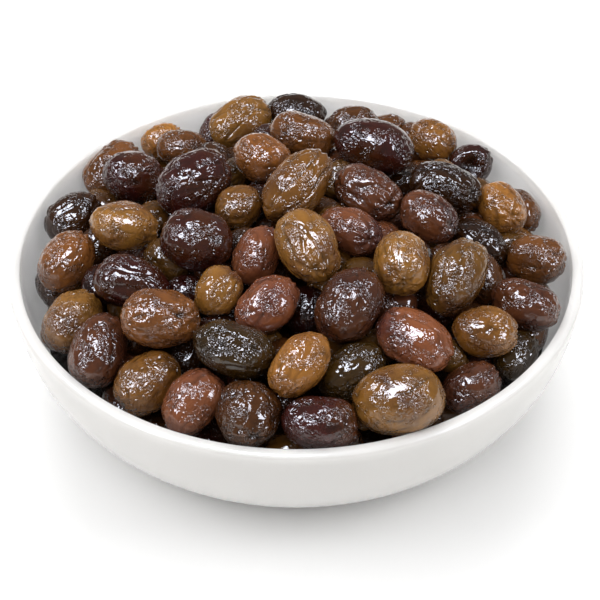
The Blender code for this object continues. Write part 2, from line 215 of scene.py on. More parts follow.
def add_node(
    tree: bpy.types.NodeTree, kind: str, inputs: dict | None = None, **settings: object
) -> bpy.types.Node:
    """Add a shader node with its settings and links.

    Args:
        tree: the material's or world's node tree.
        kind: the node's type.
        inputs: for each input's name or number, the value it is given or the socket that feeds it.
        settings: the node's own properties.

    Returns:
        The new node.
    """
    node = tree.nodes.new(kind)
    for name, value in settings.items():
        setattr(node, name, value)
    for socket, value in (inputs or {}).items():
        if isinstance(value, bpy.types.NodeSocket):
            tree.links.new(value, node.inputs[socket])
        else:
            node.inputs[socket].default_value = value
    return node


def pattern_scale(size: float) -> float:
    """A texture's scale for a pattern whose features have a size in millimetres."""
    return 1 / (size * MM)


def new_material(name: str) -> tuple[bpy.types.Material, bpy.types.NodeTree, bpy.types.Node]:
    """Make a material and return it with its node tree and its Principled shader."""
    material = bpy.data.materials.new(name)
    material.use_nodes = True
    return material, material.node_tree, material.node_tree.nodes["Principled BSDF"]


def select_only(piece: bpy.types.Object) -> None:
    """Make one object the active and only selected one."""
    bpy.ops.object.select_all(action="DESELECT")
    piece.select_set(True)
    bpy.context.view_layer.objects.active = piece


def turned_piece(name: str, rings: Sequence[Point], sides: int) -> bpy.types.Object:
    """Model a closed turned piece from a filled circle that is extruded and scaled ring by ring.

    Args:
        name: the piece's name.
        rings: the section's points (radius, height) in order.
        sides: how many sides each ring has.

    Returns:
        The piece at the origin, with its points in the order of the rings.
    """
    first_radius, first_height = rings[0]
    bpy.ops.object.select_all(action="DESELECT")
    bpy.ops.mesh.primitive_circle_add(vertices=sides, radius=first_radius, location=(0, 0, first_height))
    piece = bpy.context.active_object
    piece.name = name
    bpy.ops.object.transform_apply(location=True, rotation=True, scale=True)
    bpy.ops.object.mode_set(mode="EDIT")
    bpy.ops.mesh.select_mode(type="EDGE")
    bpy.ops.mesh.select_all(action="SELECT")
    bpy.ops.mesh.edge_face_add()
    bpy.ops.mesh.select_all(action="DESELECT")
    bpy.ops.object.mode_set(mode="OBJECT")
    for edge in piece.data.edges:
        edge.select = True
    piece.data.polygons[0].select = False
    bpy.ops.object.mode_set(mode="EDIT")
    for (radius, height), (next_radius, next_height) in pairwise(rings):
        bpy.ops.mesh.extrude_edges_move(TRANSFORM_OT_translate={"value": (0, 0, next_height - height)})
        scale = next_radius / radius
        bpy.ops.transform.resize(value=(scale, scale, 1), center_override=(0, 0, next_height))
    bpy.ops.mesh.edge_face_add()
    bpy.ops.mesh.select_all(action="SELECT")
    bpy.ops.mesh.normals_make_consistent(inside=False)
    bpy.ops.object.mode_set(mode="OBJECT")
    select_only(piece)
    return piece


@dataclass(frozen=True)
class Photograph:
    """The photograph's view: where the camera stands and what it aims at.

    Lengths are in metres and the focal length is in pixels of the square picture.
    """

    rim_height: float
    picture: float = 600.0
    focus: float = 2446.0
    distance: float = 850 * MM
    elevation: float = math.radians(39.49)
    aim_right: float = 1.3 * MM
    aim_front: float = 23.1 * MM
    sensor: float = 36.0
    nearest: float = 0.05
    farthest: float = 20.0

    def eye(self) -> Array:
        """The camera's place."""
        away = np.array((0, -math.cos(self.elevation), math.sin(self.elevation)))
        return np.array((0, 0, self.rim_height)) + self.distance * away

    def directions(self) -> tuple[Array, Array, Array]:
        """The directions that are right, up and forward in the picture."""
        forward = unit(np.array((self.aim_right, -self.aim_front, self.rim_height)) - self.eye())
        right = unit(np.cross(forward, (0, 0, 1)))
        return right, np.cross(right, forward), forward

    def sight(self, across: float, down: float) -> Array:
        """The direction in which the camera sees a pixel."""
        right, up, forward = self.directions()
        middle = self.picture / 2
        return unit(forward * self.focus + right * (across - middle) - up * (down - middle))

    def set_camera(self) -> None:
        """Put the scene's camera where the photograph was taken from."""
        camera = bpy.data.cameras.new("camera")
        camera.sensor_width = self.sensor
        camera.lens = self.sensor * self.focus / self.picture
        camera.clip_start, camera.clip_end = self.nearest, self.farthest
        holder = bpy.data.objects.new("camera", camera)
        bpy.context.scene.collection.objects.link(holder)
        right, up, forward = self.directions()
        turn = Matrix(np.column_stack((right, up, -forward)).tolist()).to_4x4()
        holder.matrix_world = Matrix.Translation(self.eye()) @ turn
        bpy.context.scene.camera = holder


def offset_run(radius: float, height: float, steps: Sequence[Point]) -> list[Point]:
    """Points (radius, height), each off a corner by a step in millimetres."""
    return [(radius + outwards * MM, height + up * MM) for outwards, up in steps]


@dataclass(frozen=True)
class BowlSection:
    """The bowl's section: a narrow rounded lip, a wall that curls in towards the foot, and a foot ring.

    The wall leans in by lean for each unit of drop, and by curl more at curl_depth, growing as a power.
    The foot's sides and the floor's fillet are short runs of points in millimetres, outwards and up from
    the foot ring's inner side, from its outer side, and from that side at the floor's level.
    """

    rim_radius: float
    height: float
    lip_width: float = 4.3 * MM
    widest_drop: float = 1.2 * MM
    lip_outer_round: float = 2.2 * MM
    lip_inner_round: float = 0.6 * MM
    wall: float = 4.4 * MM
    lean: float = 0.137
    curl: float = 5.9 * MM
    curl_depth: float = 30 * MM
    curl_power: float = 2.82
    wall_drop: float = 48 * MM
    foot_radius: float = 56 * MM
    foot_width: float = 4 * MM
    foot_depth: float = 2 * MM
    floor_thickness: float = 5 * MM
    foot_inside: tuple[Point, ...] = ((-1, 2), (-0.3, 1.6), (0, 0.8), (0.5, 0.15), (1, 0))
    foot_outside: tuple[Point, ...] = ((-0.9, 0), (-0.3, 0.25), (0, 0.8), (0.5, 1.7), (1.8, 2.1))
    floor_fillet: tuple[Point, ...] = ((8, 0.9), (2, 0.15), (-4, 0))
    outer_clearance: float = 2.64 * MM  # from the rim down to the outer wall's first point
    inner_clearance: float = 2 * MM
    wall_steps: int = 28
    wall_spacing: float = 0.8  # under 1 sets the wall's points closer together near the foot
    round_steps: int = 6

    def outer_radius(self, drop: float) -> float:
        """The outside wall's radius at a depth below the widest line."""
        return self.rim_radius - self.lean * drop - self.curl * (drop / self.curl_depth) ** self.curl_power

    def wall_run(self, thickness: float) -> list[Point]:
        """Work out the wall's run, from its widest line down.

        Args:
            thickness: how far the run is set inwards from the outside.

        Returns:
            Points (radius, height).
        """
        widest = self.height - self.widest_drop
        points = []
        for step in range(self.wall_steps + 1):
            drop = self.wall_drop * (step / self.wall_steps) ** self.wall_spacing
            grown = (drop / self.curl_depth) ** (self.curl_power - 1)
            slope = self.lean + self.curl * self.curl_power / self.curl_depth * grown
            length = math.hypot(1, slope)
            radius = self.outer_radius(drop) - thickness / length
            points.append((radius, widest - drop + thickness * slope / length))
        return points

    def inner_radius(self, height: float | Array) -> float | Array:
        """The inside wall's radius at a height."""
        run = self.wall_run(self.wall)[::-1]
        return np.interp(height, [z for _, z in run], [r for r, _ in run])

    def quarter(self, radius: float, height: float, size: float, start: float) -> list[Point]:
        """Points of a quarter circle round a centre, anticlockwise from an angle in degrees."""
        angles = np.radians(start + np.linspace(0, 90, self.round_steps + 1))
        return [(radius + size * math.cos(a), height + size * math.sin(a)) for a in angles]

    def profile(self) -> list[Point]:
        """Work out the whole section.

        Returns:
            Points (radius, height) from the recess under the foot, over the lip, to the floor inside.
        """
        inner_edge = self.rim_radius - self.lip_width
        outer, inner = self.lip_outer_round, self.lip_inner_round
        round_middle = self.outer_radius(outer - self.widest_drop) - outer
        return (
            offset_run(self.foot_radius - self.foot_width, 0, self.foot_inside)
            + offset_run(self.foot_radius, 0, self.foot_outside)
            + [point for point in self.wall_run(0) if point[1] < self.height - self.outer_clearance][::-1]
            + self.quarter(round_middle, self.height - outer, outer, 0)
            + self.quarter(inner_edge + inner, self.height - inner, inner, 90)
            + [point for point in self.wall_run(self.wall) if point[1] < self.height - self.inner_clearance]
            + offset_run(self.foot_radius, self.foot_depth + self.floor_thickness, self.floor_fillet)
        )


@dataclass
class Placed:
    """Where olives lie: middles, long axes and half sizes (length, width), one row each."""

    middles: Array
    axes: Array
    halves: Array

    def with_one(self, middle: Array, axis: Array, half: Array) -> "Placed":
        """The same olives and one more."""
        return Placed(
            np.vstack((self.middles, middle)), np.vstack((self.axes, axis)), np.vstack((self.halves, half))
        )


def reach(axes: Array, halves: Array, directions: Array) -> Array:
    """How far each spheroid reaches from its middle in a direction."""
    along = np.sum(axes * directions, axis=-1)
    long_half, wide_half = halves[..., 0], halves[..., 1]
    return np.sqrt(wide_half**2 + (long_half**2 - wide_half**2) * along**2)


def olive_frame(axis: Array) -> Array:
    """Three directions at right angles, as columns, with an olive's axis last."""
    side = unit(np.cross(axis, (0.3, 0.2, 1)))
    return np.column_stack((side, np.cross(axis, side), axis))


@dataclass
class HeapLayout:
    """Works out where every olive lies, as the solid heap has them.

    The shown olives are set where the photograph's lines of sight meet an even mound, and are then let
    to find room. The others fill the room that those leave behind and under them.
    """

    photograph: Photograph
    section: BowlSection
    edge: float = -2 * MM
    crown: float = 24 * MM
    radius: float = 86 * MM
    power: float = 2.2
    back_tilt: float = 0.03
    lying_lean: float = math.radians(20)
    pressing: float = 0.4 * MM
    wall_gap: float = 0.7 * MM
    rounds: int = 120
    step: float = 0.25
    most_move: float = 5 * MM
    sideways: float = 0.25
    sight_pull: float = 0.3
    fill_depths: tuple[float, ...] = (0, 4 * MM, 8 * MM)
    bed_depths: tuple[float, ...] = (13 * MM, 19 * MM)
    tries: int = 4000
    fill_length: Point = (15 * MM, 24 * MM)
    fill_lean: float = 0.4
    slimness: float = 0.8
    squeeze: float = 2.2 * MM
    overlap: float = 0.4
    blur: float = 6 * MM
    seed: int = 11
    ball_segments: int = 24
    ball_rings: int = 17
    halvings: int = 40
    ball: Array = field(init=False)

    def __post_init__(self) -> None:
        """Spread test points over a sphere of radius 1."""
        around = np.repeat(np.linspace(0, 2 * math.pi, self.ball_segments, endpoint=False), self.ball_rings)
        down = np.tile(np.linspace(0, math.pi, self.ball_rings), self.ball_segments)
        level = np.sin(down)
        self.ball = np.column_stack((level * np.cos(around), level * np.sin(around), np.cos(down)))

    def mound_height(self, point: Array) -> float:
        """The even mound's height over a point of the plan."""
        share = min(math.hypot(point[0], point[1]) / self.radius, 1)
        rise = self.crown * (1 - share**self.power) - self.back_tilt * point[1]
        return self.section.height + self.edge + rise

    def meet_mound(self, ray: Array, rise: float) -> Array:
        """Find where a line of sight comes down to a height above the mound.

        Args:
            ray: the line's direction from the camera.
            rise: the height above the mound.

        Returns:
            The point.
        """
        eye = self.photograph.eye()
        near, far = 0.5 * self.photograph.distance, 1.5 * self.photograph.distance
        for _ in range(self.halvings):
            middle = 0.5 * (near + far)
            point = eye + middle * ray
            if point[2] > self.mound_height(point) + rise:
                near = middle
            else:
                far = middle
        return eye + near * ray

    def shown(self) -> tuple[Placed, Array]:
        """Set the shown olives on the mound.

        Returns:
            The olives before they settle, and their lines of sight.
        """
        right, up, forward = self.photograph.directions()
        lying_up = up * math.cos(self.lying_lean) + forward * math.sin(self.lying_lean)
        rays = np.array([self.photograph.sight(olive.across, olive.down) for olive in SHOWN_OLIVES])
        middles = [self.meet_mound(ray, olive.rise * MM) for ray, olive in zip(rays, SHOWN_OLIVES)]
        turns = [math.radians(olive.lie) for olive in SHOWN_OLIVES]
        axes = [unit(right * math.cos(turn) + lying_up * math.sin(turn)) for turn in turns]
        halves = [(0.5 * olive.length * MM, 0.5 * olive.width * MM) for olive in SHOWN_OLIVES]
        return Placed(np.array(middles), np.array(axes), np.array(halves)), rays

    def crowding(self, olives: Placed, rays: Array) -> Array:
        """Work out the moves that take overlapping olives apart, mostly along the line of sight.

        Args:
            olives: where the olives lie.
            rays: their lines of sight.

        Returns:
            One move for each olive.
        """
        apart = olives.middles[:, None] - olives.middles[None]
        distance = np.linalg.norm(apart, axis=2) + np.eye(len(rays))
        towards = apart / distance[..., None]
        own_reach = reach(olives.axes[:, None], olives.halves[:, None], towards)
        overlap = np.clip(own_reach + own_reach.T - self.pressing - distance, 0, None)
        np.fill_diagonal(overlap, 0)
        nearness = -np.sum(towards * rays[:, None], axis=2)
        across = towards + nearness[..., None] * rays[:, None]
        nearer = -np.where(nearness > 0, 1, -1)[..., None] * rays[:, None]
        return self.step * np.sum(overlap[..., None] * (self.sideways * across + nearer), axis=1)

    def wall_push(self, middle: Array, axis: Array, half: Array) -> Array:
        """Work out the move that takes an olive out of the bowl's wall, inwards or up over the lip.

        Args:
            middle: the olive's middle.
            axis: the direction of its long axis.
            half: its half length and half width.

        Returns:
            The move, nought where it is clear of the wall.
        """
        surface = middle + (self.ball * (half[1], half[1], half[0])) @ olive_frame(axis).T
        radius = np.hypot(surface[:, 0], surface[:, 1])
        inwards = radius - self.section.inner_radius(surface[:, 2]) + self.wall_gap
        upwards = self.section.height + self.wall_gap - surface[:, 2]
        depth = np.minimum(inwards, upwards)
        worst = int(np.argmax(depth))
        if depth[worst] <= 0:
            return np.zeros(3)
        if inwards[worst] <= upwards[worst]:
            return np.append(-inwards[worst] * surface[worst, :2] / radius[worst], 0)
        return np.array((0, 0, upwards[worst]))

    def settle(self, olives: Placed, rays: Array) -> Placed:
        """Let the shown olives find room beside each other and inside the bowl.

        Args:
            olives: where they start.
            rays: their lines of sight, which they stay near.

        Returns:
            Where they come to lie.
        """
        start = olives.middles
        for _ in range(self.rounds):
            moved = olives.middles + self.crowding(olives, rays) - start
            along = np.sum(moved * rays, axis=1, keepdims=True) * rays
            moved -= self.sight_pull * (moved - along)
            distance = np.linalg.norm(moved, axis=1, keepdims=True)
            middles = start + moved * np.minimum(1, self.most_move / np.maximum(distance, self.most_move))
            for index, middle in enumerate(middles):
                middles[index] = middle + self.wall_push(middle, olives.axes[index], olives.halves[index])
            olives = Placed(middles, olives.axes, olives.halves)
        return olives

    def level(self, spots: Array, shown: Placed) -> Array:
        """The height of the shown olives' middles round points of the plan, led by the nearest ones."""
        away = np.linalg.norm(np.asarray(spots)[:, None] - shown.middles[None, :, :2], axis=2)
        weight = 1 / (away**2 + self.blur**2) ** 2
        return weight @ shown.middles[:, 2] / weight.sum(axis=1)

    def hides_shown(self, middle: Array, half: Array, shown: Placed) -> bool:
        """Tell whether an olive would stand before a shown one in the photograph.

        Args:
            middle: the olive's middle.
            half: its half length and half width.
            shown: the shown olives.

        Returns:
            True if it would cover more of one than overlap allows.
        """
        eye = self.photograph.eye()
        sight = shown.middles - eye
        far = np.linalg.norm(sight, axis=1)
        along = sight @ (middle - eye) / far
        beside = np.linalg.norm(middle - eye - sight * (along / far)[:, None], axis=1)
        return bool(np.any((beside < half[1] + (1 - self.overlap) * shown.halves[:, 1]) & (along < far)))

    def fill(self, shown: Placed) -> Placed:
        """Add the olives that the photograph hides, where there is room for them.

        Args:
            shown: the shown olives, settled.

        Returns:
            Those and the others, in that order.
        """
        random = np.random.default_rng(self.seed)
        olives = shown
        for depth in self.fill_depths + self.bed_depths:
            for _ in range(self.tries):
                spot = random.uniform(-self.radius, self.radius, 2)
                turn, lean = random.uniform(0, math.pi), random.uniform(-self.fill_lean, self.fill_lean)
                length = random.uniform(*self.fill_length)
                middle = np.append(spot, self.level([spot], shown)[0] - depth)
                axis = unit((math.cos(turn), math.sin(turn), lean))
                half = np.array((length, length * self.slimness)) / 2
                apart = middle - olives.middles
                distance = np.linalg.norm(apart, axis=1)
                towards = apart / distance[:, None]
                room = distance - reach(olives.axes, olives.halves, towards) - reach(axis, half, towards)
                if room.min() < -self.squeeze or self.hides_shown(middle, half, shown):
                    continue
                if not self.wall_push(middle, axis, half).any():
                    olives = olives.with_one(middle, axis, half)
        return olives


@dataclass(frozen=True)
class SkinFinish:
    """Ripe olive skin, cured until it wrinkles and dressed with oil, which gives sharp broken glints.

    flesh is the skin's main colour, blush is what it turns to in patches, and the crease colour is painted
    shade put down in the wrinkles, grooves, stem pit and hollow. Pattern sizes are in millimetres. All
    the gloss comes from the oil, as a coat over a dull skin.
    """

    flesh: str
    blush: str
    # painted shade: the dark colour put down in the creases
    crease_shade: str
    freckle: str
    roughness: float = 0.38
    roughness_spread: Point = (-0.06, 0.12)
    skin_ior: float = 1.4
    oil: float = 1.0
    oil_roughness: float = 0.03
    oil_ior: float = 1.6
    mottle_size: float = 5.0
    mottle_contrast: float = 1.6
    pore_size: float = 0.9
    pore_edge: Point = (0.12, 0.3)
    pore_share: float = 0.35
    tone_range: Point = (0.35, 1.6)
    crinkle_size: float = 1.8
    crinkle_depth: float = 1.5
    smooth_patch_size: float = 5.0
    smooth_patch_edge: Point = (0.42, 0.57)
    smooth_patch_strength: float = 0.12

    def make(self, name: str) -> bpy.types.Material:
        """Make the material.

        Args:
            name: the material's name.

        Returns:
            A Principled material that reads the mesh's tone, blush and crease attributes, the last of them
            painted shade.
        """
        material, tree, shader = new_material(name)
        node = partial(add_node, tree)
        place = node("ShaderNodeTexCoord").outputs["Object"]
        mottle = node(
            "ShaderNodeTexNoise",
            {"Vector": place, "Scale": pattern_scale(self.mottle_size), "Detail": 4.0, "Roughness": 0.6},
        ).outputs["Fac"]
        low, high = self.roughness_spread
        rough = node(
            "ShaderNodeMapRange",
            {"Value": mottle, "To Min": self.roughness + low, "To Max": self.roughness + high},
        )
        crinkles = self.crinkles(node, place)
        tree.links.new(self.colour(node, place, mottle), shader.inputs["Base Color"])
        tree.links.new(rough.outputs[0], shader.inputs["Roughness"])
        tree.links.new(crinkles, shader.inputs["Normal"])
        tree.links.new(crinkles, shader.inputs["Coat Normal"])
        shader.inputs["Coat Weight"].default_value = self.oil
        shader.inputs["Coat Roughness"].default_value = self.oil_roughness
        shader.inputs["Coat IOR"].default_value = self.oil_ior
        shader.inputs["IOR"].default_value = self.skin_ior
        shader.inputs["Specular IOR Level"].default_value = 0.0
        return material

    def colour(self, node: NodeAdder, place: Socket, mottle: Socket) -> Socket:
        """Build the skin's colour: flesh, blush in patches, freckles, painted shade in the creases, and then
        the olive's tone.

        Args:
            node: adds a node to the material.
            place: where on the piece a point lies.
            mottle: an uneven pattern round one half.

        Returns:
            The socket that gives the colour.
        """
        tone, blush, crease_shade = (
            node("ShaderNodeAttribute", attribute_name=name).outputs["Fac"]
            for name in ("tone", "blush", "crease_shade")
        )
        uneven = node("ShaderNodeMath", {0: mottle, 1: 0.5}, operation="SUBTRACT").outputs[0]
        patch = node("ShaderNodeMath", {0: uneven, 1: self.mottle_contrast}, operation="MULTIPLY").outputs[0]
        share = node("ShaderNodeMath", {0: blush, 1: patch}, operation="ADD", use_clamp=True).outputs[0]
        pores = node("ShaderNodeTexVoronoi", {"Vector": place, "Scale": pattern_scale(self.pore_size)})
        near, far = self.pore_edge
        dots = node(
            "ShaderNodeMapRange",
            {
                "Value": pores.outputs["Distance"],
                "From Min": near,
                "From Max": far,
                "To Min": self.pore_share,
                "To Max": 0.0,
            },
        ).outputs[0]
        colour: tuple[float, ...] | Socket = linear(self.flesh)
        # the last mix darkens the creases with painted shade
        for amount, code in ((share, self.blush), (dots, self.freckle), (crease_shade, self.crease_shade)):
            mixed = node("ShaderNodeMix", {0: amount, 6: colour, 7: linear(code)}, data_type="RGBA")
            colour = mixed.outputs[2]
        darkest, lightest = self.tone_range
        light = node(
            "ShaderNodeMapRange", {"Value": tone, "From Min": -1.0, "To Min": darkest, "To Max": lightest}
        )
        toned = node("ShaderNodeVectorMath", {0: colour, "Scale": light.outputs[0]}, operation="SCALE")
        return toned.outputs[0]

    def crinkles(self, node: NodeAdder, place: Socket) -> Socket:
        """Build the finest wrinkles, sharp valleys between soft ridges, which fade in smooth patches.

        Args:
            node: adds a node to the material.
            place: where on the piece a point lies.

        Returns:
            The socket that gives the surface's direction.
        """
        crinkle_scale, patch_scale = pattern_scale(self.crinkle_size), pattern_scale(self.smooth_patch_size)
        crinkle = node(
            "ShaderNodeTexNoise",
            {"Vector": place, "Scale": crinkle_scale, "Detail": 0.5, "Roughness": 0.5, "Distortion": 0.8},
        )
        raised = node("ShaderNodeMath", {0: crinkle.outputs["Fac"], 1: 0.5}, operation="SUBTRACT")
        ridged = node("ShaderNodeMath", {0: raised.outputs[0]}, operation="ABSOLUTE")
        smoothness = node("ShaderNodeTexNoise", {"Vector": place, "Scale": patch_scale, "Detail": 1.0})
        smooth, wrinkled = self.smooth_patch_edge
        strength = node(
            "ShaderNodeMapRange",
            {
                "Value": smoothness.outputs["Fac"],
                "From Min": smooth,
                "From Max": wrinkled,
                "To Min": self.smooth_patch_strength,
            },
        )
        height, depth = ridged.outputs[0], self.crinkle_depth * MM
        bump = node("ShaderNodeBump", {"Height": height, "Strength": strength.outputs[0], "Distance": depth})
        return bump.outputs[0]


# Each skin lists flesh, blush, the painted shade colour of its creases, and freckle.
SKINS = {
    Ripeness.KHAKI: SkinFinish("#845A26", "#5C3820", "#30200C", "#987238"),
    Ripeness.GOLDEN: SkinFinish("#8E5E28", "#6A401C", "#38220C", "#A26E34"),
    Ripeness.CHESTNUT: SkinFinish("#7A4A22", "#54321C", "#2A180A", "#88562A"),
    Ripeness.ROSY: SkinFinish("#7C482C", "#522C24", "#2A160C", "#865438"),
    Ripeness.UMBER: SkinFinish("#4A2A10", "#30180A", "#1A0E06", "#603E20"),
    Ripeness.AUBERGINE: SkinFinish("#361410", "#42220C", "#140A06", "#4A2A1E", roughness=0.3),
    Ripeness.BLACK: SkinFinish("#38260B", "#26180A", "#100A04", "#4A3818", roughness=0.25),
}


@dataclass(frozen=True)
class GlazeFinish:
    """White porcelain under a clear glaze: light soaks some way into the body, under an even gloss.

    The body colour outside is kept greyer as painted shade, and the bright body colour inside is whiter as
    painted light, where the piece's painted-light share is 1. The lip lies between.
    """

    # painted shade outside and painted light inside: one white porcelain, coloured greyer out and whiter in
    body: str = "#DAD8D5"
    painted_light_body: str = "#FBFAF8"
    soak: float = 8 * MM
    ior: float = 1.5
    roughness: float = 0.22
    roughness_spread: float = 0.04
    ripple_size: float = 14.0
    ripple_depth: float = 0.02

    def make(self, name: str) -> bpy.types.Material:
        """Make the material, with the glaze's faint ripple and its slightly uneven gloss.

        Args:
            name: the material's name.

        Returns:
            A Principled material that reads the mesh's painted-light share attribute.
        """
        material, tree, shader = new_material(name)
        node = partial(add_node, tree)
        place = node("ShaderNodeTexCoord").outputs["Object"]
        ripple = node(
            "ShaderNodeTexNoise", {"Vector": place, "Scale": pattern_scale(self.ripple_size), "Detail": 2.0}
        ).outputs["Fac"]
        bump = node("ShaderNodeBump", {"Height": ripple, "Strength": 0.5, "Distance": self.ripple_depth * MM})
        least, most = self.roughness - self.roughness_spread, self.roughness + self.roughness_spread
        rough = node("ShaderNodeMapRange", {"Value": ripple, "To Min": least, "To Max": most})
        # Painted light: the inside is mixed whiter, and the outside left greyer as painted shade
        painted_light_share = node("ShaderNodeAttribute", attribute_name="painted_light_share").outputs["Fac"]
        body = node(
            "ShaderNodeMix", {0: painted_light_share, 6: linear(self.body), 7: linear(self.painted_light_body)}, data_type="RGBA"
        )
        tree.links.new(body.outputs[2], shader.inputs["Base Color"])
        tree.links.new(rough.outputs[0], shader.inputs["Roughness"])
        tree.links.new(bump.outputs[0], shader.inputs["Normal"])
        shader.inputs["IOR"].default_value = self.ior
        shader.inputs["Subsurface Weight"].default_value = 1.0
        shader.inputs["Subsurface Radius"].default_value = (1.0, 1.0, 1.0)
        shader.inputs["Subsurface Scale"].default_value = self.soak
        return material


@dataclass
class Bowl:
    """The porcelain bowl, turned ring by ring up its outside, over the lip and down inside."""

    section: BowlSection
    sides: int = 192
    lip_depth: float = 1 * MM
    # the lip's share of the inside's painted light
    lip_painted_light: float = 0.4
    crease_angle: float = math.radians(50)
    finish: GlazeFinish = GlazeFinish()

    def build(self) -> bpy.types.Object:
        """Model the bowl along its section.

        Returns:
            The bowl's object, at the origin, with its painted-light share: 0 outside, 1 inside, part way on
            the lip.
        """
        rings = self.section.profile()
        bowl = turned_piece("porcelain_bowl", rings, self.sides)
        bpy.ops.object.shade_smooth_by_angle(angle=self.crease_angle)
        # Painted light: the inside is coloured whiter than the outside, and the lip takes part of it
        lip = self.section.height - self.lip_depth
        on_lip = [index for index, (_, height) in enumerate(rings) if height > lip]
        steps = [on_lip[0] - 1, on_lip[0], on_lip[-1], on_lip[-1] + 1]
        shares = [0, self.lip_painted_light, self.lip_painted_light, 1]
        painted_light_share = np.repeat(np.interp(range(len(rings)), steps, shares), self.sides)
        bowl.data.attributes.new("painted_light_share", "FLOAT", "POINT").data.foreach_set("value", painted_light_share)
        return bowl

    def dress(self, bowl: bpy.types.Object) -> None:
        """Glaze the bowl and let it stand for the solid one."""
        bowl.data.materials.append(self.finish.make("glazed_porcelain"))
        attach(bowl, "root")
        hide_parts("dish")


@dataclass(frozen=True)
class Shrinkage:
    """How an olive's skin has drawn in: the depths of its broad dents, long grooves, folds and hollow.

    fold_size is the folds' width, and stretch is how many times longer they run along the olive.
    """

    dent: float
    groove: float
    fold: float
    fold_size: float = 2.0 * MM
    stretch: float = 1.3
    hollow: float = 0.0


SHRINKAGE = {
    Relief.TAUT: Shrinkage(0.4 * MM, 0.1 * MM, 0.12 * MM, 3.0 * MM),
    Relief.FINE: Shrinkage(0.8 * MM, 0.2 * MM, 0.55 * MM, 2.2 * MM),
    Relief.DEEP: Shrinkage(1.1 * MM, 0.4 * MM, 0.65 * MM, 2.8 * MM, 1.6),
    Relief.GROOVED: Shrinkage(0.7 * MM, 0.7 * MM, 0.5 * MM, 2.4 * MM, 2.2),
    Relief.HOLLOW: Shrinkage(0.5 * MM, 0.1 * MM, 0.3 * MM, hollow=4.5 * MM),
}


def noise_at(points: Array, sample: Callable[[Vector], float]) -> Array:
    """Read a noise function at each point."""
    return np.fromiter((sample(Vector(point)) for point in points), float, len(points))


def bell(angle: Array, width: float, power: float = 2.0) -> Array:
    """A bell curve over an angle, 1 at the middle, with a flatter top at a higher power."""
    return np.exp(-(np.abs(angle / width) ** power))


